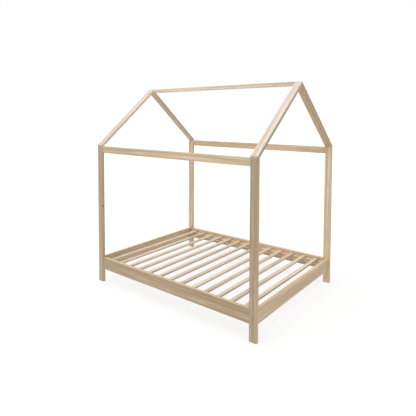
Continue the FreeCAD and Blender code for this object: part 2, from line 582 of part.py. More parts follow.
def turned_screw(name, diameter, length, head_diameter, head_height):
    """A screw with a flat head, a cross recess and a pointed tip."""
    radius, head = f"{diameter} / 2", f"{head_diameter} / 2"
    top = f"-{head_height}"
    body = turned(name, [("0", top), (head, top), (head, "0"), (radius, "0"),
                         (radius, f"{length} - {diameter}"), ("0", length)])
    arm, end = "Sizes.screw_cross_arm / 2", "Sizes.screw_cross_span / 2"
    sink_socket(body, top, [
        (arm, arm), (arm, end), (f"-{arm}", end), (f"-{arm}", arm),
        (f"-{end}", arm), (f"-{end}", f"-{arm}"), (f"-{arm}", f"-{arm}"),
        (f"-{arm}", f"-{end}"), (arm, f"-{end}"), (arm, f"-{arm}"), (end, f"-{arm}"), (end, arm),
    ], "Sizes.screw_cross_depth")
    return body


def turned_bolt(name, through):
    """A connector bolt with a hexagon socket, for a post of that size along the bolt."""
    radius, head = "Sizes.bolt_diameter / 2", "Sizes.bolt_head_diameter / 2"
    top = "-Sizes.bolt_head_height"
    tip = f"{through} - {BOLT_SINK} + {BOLT_REACH}"
    body = turned(name, [("0", top), (head, top), (head, "0"), (radius, "0"), (radius, tip), ("0", tip)])
    flat, corner = "Sizes.bolt_key_width / 2", "Sizes.bolt_key_width / 2 / cos(30)"
    sink_socket(body, top, [
        ("0", corner), (flat, f"{corner} / 2"), (flat, f"-{corner} / 2"),
        ("0", f"-{corner}"), (f"-{flat}", f"-{corner} / 2"), (f"-{flat}", f"{corner} / 2"),
    ], "Sizes.bolt_key_depth")
    return body


def barrel_nut():
    """A barrel nut with its bolt's bore across it, along X."""
    body = turned_rod("barrel_nut", "Sizes.nut_diameter", "-Sizes.nut_length / 2", "Sizes.nut_length / 2")
    drill(body, "bolt_bore", "YZ_Plane", "Sizes.nut_diameter / 2", -1, [("0", "0")], BOLT_BORE,
          "Sizes.nut_diameter")
    return body


def rafter_plug():
    """The plug over a front rafter's foot screw, cut off along the roof's slope, facing the front."""
    width = "Sizes.roof_screw_head_diameter"
    body = turned_rod("rafter_plug", width, "0", f"Sizes.rafter_plug_length + {width}")
    slope_sketch = new_sketch(body, "rafter_plug_slope", "YZ_Plane")
    climb = f"{width} * tan(Sizes.roof_pitch)"
    above = f"Sizes.rafter_plug_length + 2 * {width}"
    draw_outline(slope_sketch, [(f"-{width}", f"Sizes.rafter_plug_length - {climb}"),
                                (width, f"Sizes.rafter_plug_length + {climb}"),
                                (width, f"{above} + {climb}"), (f"-{width}", f"{above} + {climb}")])
    trim = body.newObject("PartDesign::Pocket", "rafter_plug_trim")
    trim.Profile = slope_sketch
    trim.SideType = "Symmetric"
    trim.setExpression("Length", f"2 * {width}")
    doc.recompute()
    return body


def make_group(name, master, places):
    """Copies of one fastener; each place is x, y, z as expressions and a rotation."""
    copies = []
    for index, (x, y, z, rotation) in enumerate(places, start=1):
        copy = doc.addObject("App::Link", f"{name}_{index}")
        copy.LinkedObject = master
        place(copy, x, y, z, rotation)
        copies.append(copy)
    group = doc.addObject("Part::Compound", name)
    group.Label = name
    group.Links = copies
    sub_parts.append(group)


def toward(x, y, z):
    """The rotation that points a fastener in a direction."""
    return Rotation(Vector(0, 0, 1), Vector(x, y, z))


def long_joints(inset, rotation=None):
    """Places on the side and eave rails' bolt axes, that far in from the posts' outer faces."""
    places = []
    for sx, sy in CORNERS:
        for depth, height in ((SIDE_JOINT_DEPTH, SIDE_BOLT_Z), (EAVE_JOINT_DEPTH, EAVE_BOLT_Z)):
            places.append((f"{sx} * ({HALF_LENGTH} - ({inset}))", f"{sy} * ({HALF_WIDTH} - {depth})", height,
                           rotation or toward(-sx, 0, 0)))
    return places


def end_joints(inset, rotation=None):
    """Places on the end rails' bolt axes, that far in from the posts' outer faces."""
    places = []
    for sx, sy in CORNERS:
        places.append((f"{sx} * ({HALF_LENGTH} - {END_JOINT_DEPTH})", f"{sy} * ({HALF_WIDTH} - ({inset}))",
                       END_BOLT_Z, rotation or toward(0, -sy, 0)))
    return places


def make_bolts():
    """Connector bolts, their barrel nuts and their cover plugs."""
    make_group("long_bolts", turned_bolt("long_bolt", "Sizes.post_width"), long_joints(BOLT_SINK))
    make_group("short_bolts", turned_bolt("short_bolt", "Sizes.post_depth"), end_joints(BOLT_SINK))
    long_nuts = long_joints("Sizes.post_width + Sizes.nut_setback", LYING_ACROSS)
    end_nuts = end_joints("Sizes.post_depth + Sizes.nut_setback", NUT_IN_END_RAIL)
    make_group("barrel_nuts", barrel_nut(), long_nuts + end_nuts)
    plug = turned_rod("bolt_plug", "Sizes.bolt_head_diameter", "0", "Sizes.bolt_plug_thickness")
    make_group("bolt_plugs", plug, long_joints("0") + end_joints("0"))


def make_dowels():
    """Glued dowels between rails and posts, posts and rafters, and at the peaks."""
    dowel = turned_rod("dowel", "Sizes.dowel_diameter", f"-{HALF_DOWEL}", HALF_DOWEL)
    lying_along = toward(1, 0, 0)
    rail_dowels, foot_dowels, peak_dowels = [], [], []
    for sx, sy in CORNERS:
        joint_x = f"{sx} * {SIDE_RAIL_LENGTH} / 2"
        for height in SIDE_DOWELS_Z:
            rail_dowels.append((joint_x, f"{sy} * ({HALF_WIDTH} - {SIDE_JOINT_DEPTH})", height, lying_along))
        rail_dowels.append((joint_x, f"{sy} * ({HALF_WIDTH} - {EAVE_JOINT_DEPTH})", EAVE_DOWEL_Z, lying_along))
        for height in END_DOWELS_Z:
            rail_dowels.append((f"{sx} * ({HALF_LENGTH} - {END_JOINT_DEPTH})", f"{sy} * {END_RAIL_LENGTH} / 2",
                                height, LYING_ACROSS))
        for end in (-1, 1):
            foot_dowels.append((f"{sx} * {SEAT_X} + {end} * Sizes.foot_dowel_spread / 2", f"{sy} * {SEAT_Y}",
                                f"Sizes.post_height + Sizes.foot_dowel_rise - {HALF_DOWEL}", UPRIGHT))
    for sx in SIDES_X.values():
        for end in (-1, 1):
            peak_dowels.append((f"{sx} * {SEAT_X} + {end} * Sizes.peak_dowel_spread / 2", "0", PEAK_DOWEL_Z,
                                LYING_ACROSS))
    make_group("rail_dowels", dowel, rail_dowels)
    make_group("roof_dowels", dowel, foot_dowels + peak_dowels)


def make_roof_screws():
    """Screws of the rafter feet and of the ridge beam, with their cover plugs."""
    head = ("Sizes.roof_screw_head_diameter", "Sizes.roof_screw_head_height")
    foot_screw = turned_screw("rafter_screw", "Sizes.rafter_screw_diameter", "Sizes.rafter_screw_length", *head)
    ridge_screw = turned_screw("ridge_screw", "Sizes.ridge_screw_diameter", "Sizes.ridge_screw_length", *head)
    ridge_plug = turned_rod("ridge_plug", "Sizes.roof_screw_head_diameter", "0", "Sizes.ridge_plug_thickness")
    seat_z = f"Sizes.post_height + {FOOT_SEAT}"
    foot_screws, foot_plugs, ridge_screws, ridge_plugs = [], [], [], []
    for sx, sy in CORNERS:
        foot_x, foot_y = f"{sx} * {SEAT_X}", f"{sy} * {SEAT_Y}"
        ridge_y = f"{sy} * Sizes.ridge_screw_offset"
        facing = UPRIGHT if sy == FRONT else HALF_TURN
        foot_screws.append((foot_x, foot_y, seat_z, toward(0, 0, -1)))
        foot_plugs.append((foot_x, foot_y, f"{seat_z} + Sizes.roof_screw_head_height", facing))
        ridge_screws.append((f"{sx} * ({HALF_LENGTH} - {RIDGE_SCREW_SINK})", ridge_y, RIDGE_SCREW_Z,
                             toward(-sx, 0, 0)))
        ridge_plugs.append((f"{sx} * {HALF_LENGTH}", ridge_y, RIDGE_SCREW_Z, toward(-sx, 0, 0)))
    make_group("rafter_screws", foot_screw, foot_screws)
    make_group("rafter_plugs", rafter_plug(), foot_plugs)
    make_group("ridge_screws", ridge_screw, ridge_screws)
    make_group("ridge_plugs", ridge_plug, ridge_plugs)


def make_deck_screws():
    """Screws from the ledgers to the side rails, between the slats, and from the slats to the ledgers."""
    ledger_screw = turned_screw("ledger_screw", "Sizes.ledger_screw_diameter", "Sizes.ledger_screw_length",
                                "Sizes.ledger_screw_head_diameter", "Sizes.ledger_screw_head_height")
    slat_screw = turned_screw("slat_screw", "Sizes.slat_screw_diameter", "Sizes.slat_screw_length",
                              "Sizes.slat_screw_head_diameter", "Sizes.slat_screw_head_height")
    ledger_seat_y = f"({CLEAR_WIDTH} / 2 - Sizes.ledger_depth + Sizes.ledger_screw_sink)"
    slat_seat_z = f"{DECK_HEIGHT} - Sizes.slat_screw_sink"
    ledger_screws, slat_screws = [], []
    for sy in SIDES_Y.values():
        for index in range(slat_count - 1):
            ledger_screws.append((f"{slat_x(index)} + {SLAT_PITCH} / 2", f"{sy} * {ledger_seat_y}",
                                  LEDGER_MIDDLE, toward(0, sy, 0)))
        for index in range(slat_count):
            slat_screws.append((slat_x(index), f"{sy} * {LEDGER_Y}", slat_seat_z, toward(0, 0, -1)))
    make_group("ledger_screws", ledger_screw, ledger_screws)
    make_group("slat_screws", slat_screw, slat_screws)


# ---------------------------------------------------------------- the bed

for x_name, sx in SIDES_X.items():
    for y_name, sy in SIDES_Y.items():
        make_post(f"post_{y_name}_{x_name}", sx, sy)
        make_rafter(f"rafter_{x_name}_{y_name}", sx, sy)
    make_end_rail(f"end_rail_{x_name}", sx)
for y_name, sy in SIDES_Y.items():
    make_side_rail(f"side_rail_{y_name}", sy)
    make_ledger(f"ledger_{y_name}", sy)
    make_eave_rail(f"eave_rail_{y_name}", sy)
for slat_index in range(slat_count):
    make_slat(f"slat_{slat_index + 1:02d}", slat_index)
make_ridge_beam("ridge_beam")
make_bolts()
make_dowels()
make_roof_screws()
make_deck_screws()
doc.recompute()

for item in doc.Objects:
    if "Invalid" in item.State or "Error" in item.State:
        raise ValueError(f"{item.Name} failed: {item.State}")
for piece in sub_parts:
    if piece.Shape.isNull() or not piece.Shape.isValid():
        raise ValueError(f"{piece.Label} has no valid shape")

os.makedirs("parts", exist_ok=True)
for piece in sub_parts:
    piece.Shape.exportStep(f"parts/{piece.Label}.step")
print(len(sub_parts), "sub-parts,", sum(len(piece.Shape.Solids) for piece in sub_parts), "solids")
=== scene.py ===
"""Looks of the house frame bed: planed pine boards, studio light and the camera.

Lengths are in metres. X runs along the bed, Y across it (front side at -Y), Z up.
"""

import math
import random

import bpy
from mathutils import Matrix, Vector


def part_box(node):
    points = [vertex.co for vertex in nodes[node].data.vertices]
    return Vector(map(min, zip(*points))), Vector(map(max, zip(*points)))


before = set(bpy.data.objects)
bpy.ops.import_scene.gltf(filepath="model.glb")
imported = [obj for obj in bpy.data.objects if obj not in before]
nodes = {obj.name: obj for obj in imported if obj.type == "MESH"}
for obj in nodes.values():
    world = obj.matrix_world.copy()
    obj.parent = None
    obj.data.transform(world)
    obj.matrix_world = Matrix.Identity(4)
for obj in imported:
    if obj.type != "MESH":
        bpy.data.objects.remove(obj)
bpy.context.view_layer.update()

X_AXIS, Y_AXIS, Z_AXIS = Vector((1, 0, 0)), Vector((0, 1, 0)), Vector((0, 0, 1))


# ---------------------------------------------------------------- sizes and places

ROOF_PITCH = math.radians(39.5)

# How far in from a long edge the sanded look and its painted highlight begin, and where they are full.
EDGE_REACH = 0.005
EDGE_FULL = 0.0012

# The floor's reach and how far below the feet it lies, then how far from the bed's middle its bounce
# and its glow begin to change and stop changing.
FLOOR_REACH = 40
FLOOR_DROP = 0.0005
BOUNCE_FROM, BOUNCE_TO = 1.2, 4.5
GLOW_FROM, GLOW_TO = 1.5, 6.0

# The overhead light is a sun, so its place sets only the way that it shines.
OVERHEAD_PLACE = (0, -1.2, 5)
OVERHEAD_SPREAD = math.radians(70)

# The camera, worked out from the bed's straight edges in the photo. The lens axis meets the picture
# above its middle, at a row counted from the top, as the photo is cropped.
CAMERA_PLACE = Vector((2.598, -3.4032, 1.7848))
CAMERA_AZIMUTH = math.radians(38.29)
CAMERA_PITCH = math.radians(2.93)
CAMERA_ROLL = math.radians(0.16)
CAMERA_REACH = 200
SENSOR_WIDTH = 36.0
IMAGE_SIZE = 416
FOCAL_PIXELS = 401.04
LENS_AXIS_ROW = 137.48


# ---------------------------------------------------------------- light levels

AMBIENT = 0.42
OVERHEAD = 2.4

# Each softbox: its place, the point that it faces, its size and its power in watts.
SOFTBOXES = {
    "front": ((-1.0, -5.0, 1.6), (0, 0, 1.0), 3.0, 26),
    "left": ((-5.0, -1.0, 2.0), (0, 0, 1.0), 3.0, 60),
    "right": ((3.4, -2.0, 0.8), (0, -0.6, 0.8), 1.5, 12),
}

# How light the floor is for the light it throws back, near the bed and far from it, and as it is seen;
# then its own glow near and far, and how much of what is seen is glow.
FLOOR_NEAR, FLOOR_FAR = 0.7, 0.3
FLOOR_SEEN = 0.75
GLOW_NEAR, GLOW_FAR = 1.04, 1.2
GLOW_SHARE = 0.75


# ---------------------------------------------------------------- colours

def srgb(red, green, blue):
    """A colour written in 0 to 255 steps, as linear values."""
    def linear(step):
        share = step / 255
        return share / 12.92 if share <= 0.04045 else ((share + 0.055) / 1.055) ** 2.4
    return (linear(red), linear(green), linear(blue), 1.0)


PINE = srgb(210, 187, 158)

# Tones of pine given to the boards: lightness and warmth beside PINE, and how pink the patches are.
WOODS = {
    "white": (1.0, -1.6, 0.4),
    "bleached": (1.2, -1.2, 0.4),
    "pale": (1.0, 0.0, 0.1),
    "rosy": (1.15, 0.0, 0.9),
    "plain": (0.95, 0.0, 0.8),
    "honey": (0.95, 0.6, 0.6),
    "brown": (0.65, 0.6, 0.5),
}

# Painted light and shade: how much lighter or darker a board's narrow long faces are painted beside its
# wide ones.
PAINTED_LIGHT_NARROW_FACES = 1.25
UNPAINTED_NARROW_FACES = 1.0
PAINTED_SHADE_NARROW_FACES = 0.75

# Each board's tone of pine, the painted light or shade on its narrow faces, and its knots: x along
# the board, y on the wide face and radius.
BOARDS = {
    "post_front_left": ("brown", PAINTED_LIGHT_NARROW_FACES, ((0.09, 0.033, 0.006),)),
    "post_front_right": ("brown", PAINTED_LIGHT_NARROW_FACES, ()),
    "post_back_left": ("plain", UNPAINTED_NARROW_FACES, ()),
    "post_back_right": ("rosy", PAINTED_SHADE_NARROW_FACES, ()),
    "side_rail_front": ("brown", PAINTED_LIGHT_NARROW_FACES, ()),
    "side_rail_back": ("plain", UNPAINTED_NARROW_FACES, ((-0.42, 0.012, 0.008),)),
    "end_rail_left": ("honey", UNPAINTED_NARROW_FACES, ((0.31, -0.02, 0.007),)),
    "end_rail_right": ("honey", UNPAINTED_NARROW_FACES, ()),
    "eave_rail_front": ("pale", UNPAINTED_NARROW_FACES, ()),
    "eave_rail_back": ("honey", UNPAINTED_NARROW_FACES, ()),
    "ledger_front": ("honey", UNPAINTED_NARROW_FACES, ((0.52, 0.006, 0.006),)),
    "ledger_back": ("honey", UNPAINTED_NARROW_FACES, ()),
    "ridge_beam": ("bleached", PAINTED_SHADE_NARROW_FACES, ()),
}

# Each rafter's side of the bed along Y, its tone of pine and the painted light or shade on its narrow
# faces.
RAFTERS = {
    "rafter_left_front": (-1, "white", PAINTED_LIGHT_NARROW_FACES),
    "rafter_left_back": (1, "plain", UNPAINTED_NARROW_FACES),
    "rafter_right_front": (-1, "white", PAINTED_SHADE_NARROW_FACES),
    "rafter_right_back": (1, "honey", PAINTED_SHADE_NARROW_FACES),
}

# The slats are paler and cooler than PINE, and no two quite alike.
SLAT_LIGHTNESS = (0.85, 0.95)
SLAT_WARMTH = -0.8
SLAT_PINKNESS = (0.1, 0.9)

# What a step of warmth takes from green and blue.
WARMTH_GREEN = 0.06
WARMTH_BLUE = 0.2

# Parts of a board's tone, and a plug's rings, as shares of its red, green and blue.
PALE_WOOD = (1.20, 1.25, 1.24)
DULL_WOOD = (0.76, 0.73, 0.64)
PINK_WOOD = (0.98, 0.84, 0.77)
LATE_WOOD = (0.74, 0.61, 0.48)
PLUG_RINGS = (0.84, 0.76, 0.66)

# How strongly each part shows.
LATE_STRENGTH = 0.6
SANDED_AND_HIGHLIGHT_STRENGTH = 0.35
END_STRENGTH = 0.55
KNOT_CORE_STRENGTH = 0.75
KNOT_RIM_STRENGTH = 0.7

KNOT_CORE = srgb(150, 100, 62)
KNOT_RIM = srgb(92, 58, 34)
PINE_PLUG = srgb(204, 178, 146)
BEECH = srgb(205, 172, 136)
ZINC_BRIGHT = srgb(206, 206, 202)
ZINC_DULL = srgb(168, 170, 170)
ZINC_SCUFF = srgb(126, 124, 118)


# ---------------------------------------------------------------- patterns and surfaces

# How closely the spots of each pattern lie along, across and through a board, per metre.
SWEEP_SPOTS = (0.9, 2.5, 2.5)
WOBBLE_SPOTS = (7, 22, 22)
STREAK_SPOTS = (0.9, 48, 48)
PATCH_SPOTS = (2.4, 17, 17)
FIBRE_SPOTS = (9, 620, 620)
KNOT_SPOTS = (160, 160, 160)

# The same in plugs and steel, along X, Y and Z.
PLUG_RING_SPOTS = (420, 420, 90)
PLUG_PATCH_SPOTS = (25, 25, 25)
ZINC_CLOUD_SPOTS = (180, 180, 180)
ZINC_SCUFF_SPOTS = (900, 900, 250)

# Noise seldom leaves the wide range, and stays mostly within the narrow one.
NOISE_WIDE = (0.2, 0.8)
NOISE_NARROW = (0.25, 0.75)

# The range over which a pattern goes from one look to the other.
STREAK_RANGE = (0.36, 0.64)
PATCH_RANGE = (0.44, 0.64)
PLUG_RING_RANGE = (0.35, 0.65)
PLUG_PATCH_RANGE = (0.3, 0.7)
ZINC_CLOUD_RANGE = (0.3, 0.7)
ZINC_SCUFF_RANGE = (0.6, 0.8)

# How squarely a face looks along a way, as a cosine, before it begins to count and counts in full.
SQUARE_RANGE = (0.45, 0.75)

# How light the fibres are, and how strongly the other patterns show at most.
FIBRE_SHADES = (0.94, 1.05)
PLUG_RING_STRENGTH = 0.7
PLUG_PATCH_STRENGTH = 0.25
ZINC_SCUFF_STRENGTH = 0.5

# Growth rings: their widths, how far they sweep and wobble, and how far the log's pith lies from a
# board's middle, across its width and beyond its wide face.
RING_WIDTHS = (0.0042, 0.0065)
RING_SWEEP = 0.022
RING_WOBBLE = 0.0022
PITH_SHIFTS = (-0.03, 0.03)
PITH_DEPTHS = (0.035, 0.08)

# Each board takes its patterns from another place, this far off along each of its directions.
PATTERN_SHIFTS = (-9, 9)

# Where in a year's ring the late wood comes in and ends, and how strong a year's late wood is.
LATE_RISE = (0.30, 0.88)
LATE_FALL = (0.90, 1.0)
YEAR_STRENGTHS = (0.45, 1.0)

# A knot's shape in a board, how ragged it is, how far it bends the rings, and its parts in radii.
KNOT_SHAPE = (0.7, 1.0, 0.12)
KNOT_RAGGED = (0.85, 1.15)
KNOT_BEND = 0.011
KNOT_CORE_END = (0.75, 1.0)
KNOT_RIM_START = (0.6, 0.9)
KNOT_RIM_END = (0.95, 1.35)

# Roughness, and what late wood and sanded edges take from it.
PINE_ROUGHNESS = (0.40, 0.52)
LATE_SMOOTHER = 0.06
SANDED_SMOOTHER = 0.05
PLUG_ROUGHNESS = (0.5, 0.65)
ZINC_ROUGHNESS = (0.28, 0.5)
PINE_SPECULAR = 0.9

# Relief: how strong and how deep.
PINE_RELIEF = (0.2, 0.0005)
PLUG_RELIEF = (0.3, 0.0004)
ZINC_RELIEF = (0.2, 0.0002)
LATE_RELIEF_SHARE = 0.6
FIBRE_RELIEF_SHARE = 0.5


# ---------------------------------------------------------------- node helpers

# A Mix node has sockets of one name for each kind of data, so those for colours go by number.
MIX_AMOUNT, MIX_FIRST, MIX_SECOND = 0, 6, 7
MIX_RESULT = 2


def add_node(tree, kind, **settings):
    """A shader node with its settings."""
    made = tree.nodes.new(kind)
    for name, setting in settings.items():
        setattr(made, name, setting)
    return made


def feed(tree, socket, source):
    """Link a socket to another node's output, or give it a constant."""
    if isinstance(source, bpy.types.NodeSocket):
        tree.links.new(source, socket)
    else:
        socket.default_value = source


def math_node(tree, operation, *sources, clamp=False):
    """The output of a Math node."""
    made = add_node(tree, "ShaderNodeMath", operation=operation, use_clamp=clamp)
    for socket, source in zip(made.inputs, sources):
        feed(tree, socket, source)
    return made.outputs[0]


def vector_node(tree, operation, *sources):
    """The vector output of a Vector Math node."""
    made = add_node(tree, "ShaderNodeVectorMath", operation=operation)
    for socket, source in zip(made.inputs, sources):
        feed(tree, socket, source)
    return made.outputs["Vector"]


def step_up(tree, source, low, high):
    """0 below low, 1 above high, smooth between."""
    made = add_node(tree, "ShaderNodeMapRange", interpolation_type="SMOOTHSTEP", clamp=True)
    feed(tree, made.inputs["Value"], source)
    feed(tree, made.inputs["From Min"], low)
    feed(tree, made.inputs["From Max"], high)
    return made.outputs["Result"]


def between(tree, source, low, high, to_low, to_high):
    """A value carried linearly from one range to another."""
    made = add_node(tree, "ShaderNodeMapRange", clamp=True)
    for name, number in (("Value", source), ("From Min", low), ("From Max", high),
                         ("To Min", to_low), ("To Max", to_high)):
        feed(tree, made.inputs[name], number)
    return made.outputs["Result"]


def noise(tree, vector, stretch, detail=2.0, roughness=0.5):
    """Noise over coordinates stretched by a vector, about 0 to 1."""
    made = add_node(tree, "ShaderNodeTexNoise")
    made.inputs["Scale"].default_value = 1.0
    made.inputs["Detail"].default_value = detail
    made.inputs["Roughness"].default_value = roughness
    feed(tree, made.inputs["Vector"], vector_node(tree, "MULTIPLY", vector, stretch))
    return made.outputs["Fac"]


def mix_colours(tree, amount, first, second, blend="MIX"):
    """Two colours mixed by an amount."""
    made = add_node(tree, "ShaderNodeMix", data_type="RGBA", blend_type=blend, clamp_factor=True)
    feed(tree, made.inputs[MIX_AMOUNT], amount)
    feed(tree, made.inputs[MIX_FIRST], first)
    feed(tree, made.inputs[MIX_SECOND], second)
    return made.outputs[MIX_RESULT]


def new_group(name, inputs, outputs):
    """A node group, with its input sockets by name and its output node."""
    tree = bpy.data.node_groups.new(name, "ShaderNodeTree")
    for socket_name, kind in inputs:
        tree.interface.new_socket(socket_name, in_out="INPUT", socket_type=kind)
    for socket_name in outputs:
        tree.interface.new_socket(socket_name, in_out="OUTPUT", socket_type="NodeSocketFloat")
    entry = add_node(tree, "NodeGroupInput")
    leave = add_node(tree, "NodeGroupOutput")
    return tree, entry.outputs, leave.inputs


# ---------------------------------------------------------------- pine

def knot_group():
    """A knot that runs through a board's thickness: its core, its rim and how it bends the rings."""
    tree, given, made = new_group("knot", [
        ("Vector", "NodeSocketVector"), ("Centre", "NodeSocketVector"),
        ("Radius", "NodeSocketFloat")], ["Core", "Rim", "Bend"])
    away = vector_node(tree, "SUBTRACT", given["Vector"], given["Centre"])
    flat = vector_node(tree, "MULTIPLY", away, KNOT_SHAPE)
    length = add_node(tree, "ShaderNodeVectorMath", operation="LENGTH")
    feed(tree, length.inputs[0], flat)
    uneven = noise(tree, given["Vector"], KNOT_SPOTS)
    ragged = between(tree, uneven, *NOISE_WIDE, *KNOT_RAGGED)
    distance = math_node(tree, "MULTIPLY", length.outputs["Value"], ragged)
    share = math_node(tree, "DIVIDE", distance, given["Radius"])
    core = math_node(tree, "SUBTRACT", 1.0, step_up(tree, share, *KNOT_CORE_END))
    rim = math_node(tree, "MULTIPLY", step_up(tree, share, *KNOT_RIM_START),
                    math_node(tree, "SUBTRACT", 1.0, step_up(tree, share, *KNOT_RIM_END)))
    bend = math_node(tree, "DIVIDE", 1.0, math_node(tree, "ADD", 1.0, math_node(tree, "POWER", share, 2.0)))
    feed(tree, made["Core"], core)
    feed(tree, made["Rim"], rim)
    feed(tree, made["Bend"], bend)
    return tree


def grain_group():
    """Growth rings, colour streaks and fibres of a board, in the board's own coordinates.

    The board runs along X, its wide face along Y. The rings are wobbly cylinders about the log's pith.
    """
    tree, given, made = new_group("pine_grain", [
        ("Vector", "NodeSocketVector"), ("Shift", "NodeSocketVector"), ("Pith", "NodeSocketVector"),
        ("Ring", "NodeSocketFloat"), ("Bend", "NodeSocketFloat")], ["Late", "Streak", "Patch", "Fibre"])
    moved = vector_node(tree, "ADD", given["Vector"], given["Shift"])
    from_pith = vector_node(tree, "MULTIPLY", vector_node(tree, "SUBTRACT", given["Vector"], given["Pith"]),
                            (0, 1, 1))
    length = add_node(tree, "ShaderNodeVectorMath", operation="LENGTH")
    feed(tree, length.inputs[0], from_pith)
    sweep_noise = noise(tree, moved, SWEEP_SPOTS, detail=1.0)
    sweep = between(tree, sweep_noise, 0.0, 1.0, -RING_SWEEP, RING_SWEEP)
    wobble_noise = noise(tree, moved, WOBBLE_SPOTS, detail=2.0)
    wobble = between(tree, wobble_noise, 0.0, 1.0, -RING_WOBBLE, RING_WOBBLE)
    radius = math_node(tree, "ADD", length.outputs["Value"], math_node(tree, "ADD", sweep, wobble))
    radius = math_node(tree, "ADD", radius, math_node(tree, "MULTIPLY", given["Bend"], KNOT_BEND))
    turns = math_node(tree, "DIVIDE", radius, given["Ring"])
    place = math_node(tree, "FRACT", turns)
    year = add_node(tree, "ShaderNodeTexWhiteNoise", noise_dimensions="1D")
    feed(tree, year.inputs["W"], math_node(tree, "FLOOR", turns))
    rise = step_up(tree, place, *LATE_RISE)
    fall = math_node(tree, "SUBTRACT", 1.0, step_up(tree, place, *LATE_FALL))
    late = math_node(tree, "MULTIPLY", math_node(tree, "MULTIPLY", rise, fall),
                     between(tree, year.outputs["Value"], 0.0, 1.0, *YEAR_STRENGTHS))
    feed(tree, made["Late"], late)
    feed(tree, made["Streak"], noise(tree, moved, STREAK_SPOTS, detail=2.0, roughness=0.55))
    feed(tree, made["Patch"], noise(tree, moved, PATCH_SPOTS, detail=2.0))
    feed(tree, made["Fibre"], noise(tree, moved, FIBRE_SPOTS, detail=3.0, roughness=0.65))
    return tree


GRAIN = grain_group()
KNOT = knot_group()


class Board:
    """Where a board lies: its middle, the directions of its length, width and thickness, and its sizes."""

    def __init__(self, middle, length_way, width_way, sizes):
        self.middle = middle
        self.turn = Matrix((length_way, width_way, length_way.cross(width_way))).transposed()
        self.sizes = sizes


def upright_board(name):
    """A board along X, Y or Z, read from its node's box."""
    low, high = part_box(name)
    size = high - low
    order = sorted(range(3), key=lambda axis: -size[axis])
    axes = (X_AXIS, Y_AXIS, Z_AXIS)
    return Board((low + high) / 2, axes[order[0]], axes[order[1]], [size[axis] for axis in order])


def rafter_board(name, side_y):
    """A rafter, which climbs from its side of the bed to the peak."""
    low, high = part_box(name)
    run = high.y - low.y
    length_way = Vector((0, -side_y * math.cos(ROOF_PITCH), math.sin(ROOF_PITCH)))
    outward = Vector((0, side_y * math.sin(ROOF_PITCH), math.cos(ROOF_PITCH)))
    # The foot is cut level on the post, so the underside climbs only past the post's depth.
    post_low, post_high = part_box("post_front_left")
    seat = post_high.y - post_low.y
    thickness = (high.z - low.z) * math.cos(ROOF_PITCH) - (run - seat) * math.sin(ROOF_PITCH)
    roof_middle = Vector(((low.x + high.x) / 2, side_y * run / 2, high.z - run / 2 * math.tan(ROOF_PITCH)))
    sizes = [run / math.cos(ROOF_PITCH), high.x - low.x, thickness]
    return Board(roof_middle - outward * thickness / 2, length_way, X_AXIS, sizes)


def board_coordinates(tree, board):
    """A point of the surface in the board's own coordinates."""
    where = add_node(tree, "ShaderNodeTexCoord").outputs["Object"]
    mapping = add_node(tree, "ShaderNodeMapping", vector_type="TEXTURE")
    feed(tree, mapping.inputs["Vector"], where)
    mapping.inputs["Location"].default_value = board.middle
    mapping.inputs["Rotation"].default_value = board.turn.to_euler()
    return mapping.outputs["Vector"]


def edge_mask(tree, local, board):
    """1 on the rounded long edges of a board, 0 elsewhere."""
    parts = add_node(tree, "ShaderNodeSeparateXYZ")
    feed(tree, parts.inputs[0], vector_node(tree, "ABSOLUTE", local))
    near = []
    for axis in (1, 2):
        half = board.sizes[axis] / 2
        near.append(step_up(tree, parts.outputs[axis], half - EDGE_REACH, half - EDGE_FULL))
    return math_node(tree, "MULTIPLY", *near)


def face_mask(tree, way):
    """1 on the faces that look along a way or against it, 0 on the others."""
    normal = add_node(tree, "ShaderNodeTexCoord").outputs["Normal"]
    along = add_node(tree, "ShaderNodeVectorMath", operation="DOT_PRODUCT")
    feed(tree, along.inputs[0], normal)
    along.inputs[1].default_value = way
    return step_up(tree, math_node(tree, "ABSOLUTE", along.outputs["Value"]), *SQUARE_RANGE)


def shade(tone, shares):
    """A tone with its red, green and blue scaled."""
    return [min(1.0, part * share) for part, share in zip(tone, shares)] + [1.0]


def grey(tree, source):
    """A value as a grey colour."""
    made = add_node(tree, "ShaderNodeCombineColor")
    for socket in made.inputs:
        feed(tree, socket, source)
    return made.outputs[0]


def new_material(name):
    """A material with an empty Principled surface."""
    material = bpy.data.materials.new(name)
    material.use_nodes = True
    tree = material.node_tree
    tree.nodes.clear()
    output = add_node(tree, "ShaderNodeOutputMaterial")
    surface = add_node(tree, "ShaderNodeBsdfPrincipled")
    tree.links.new(surface.outputs[0], output.inputs["Surface"])
    return material, tree, surface


def add_bump(tree, surface, height, strength, distance):
    """Fine relief on a surface."""
    bump = add_node(tree, "ShaderNodeBump")
    bump.inputs["Strength"].default_value = strength
    bump.inputs["Distance"].default_value = distance
    feed(tree, bump.inputs["Height"], height)
    feed(tree, surface.inputs["Normal"], bump.outputs["Normal"])


def add_knots(tree, local, knots):
    """The knots of a board together: cores, rims and how far they bend the rings."""
    cores, rims, bend = 0.0, 0.0, 0.0
    for x, y, radius in knots:
        knot = add_node(tree, "ShaderNodeGroup", node_tree=KNOT)
        feed(tree, knot.inputs["Vector"], local)
        knot.inputs["Centre"].default_value = (x, y, 0.0)
        knot.inputs["Radius"].default_value = radius
        cores = math_node(tree, "MAXIMUM", cores, knot.outputs["Core"])
        rims = math_node(tree, "MAXIMUM", rims, knot.outputs["Rim"])
        bend = math_node(tree, "MAXIMUM", bend, knot.outputs["Bend"])
    return cores, rims, bend


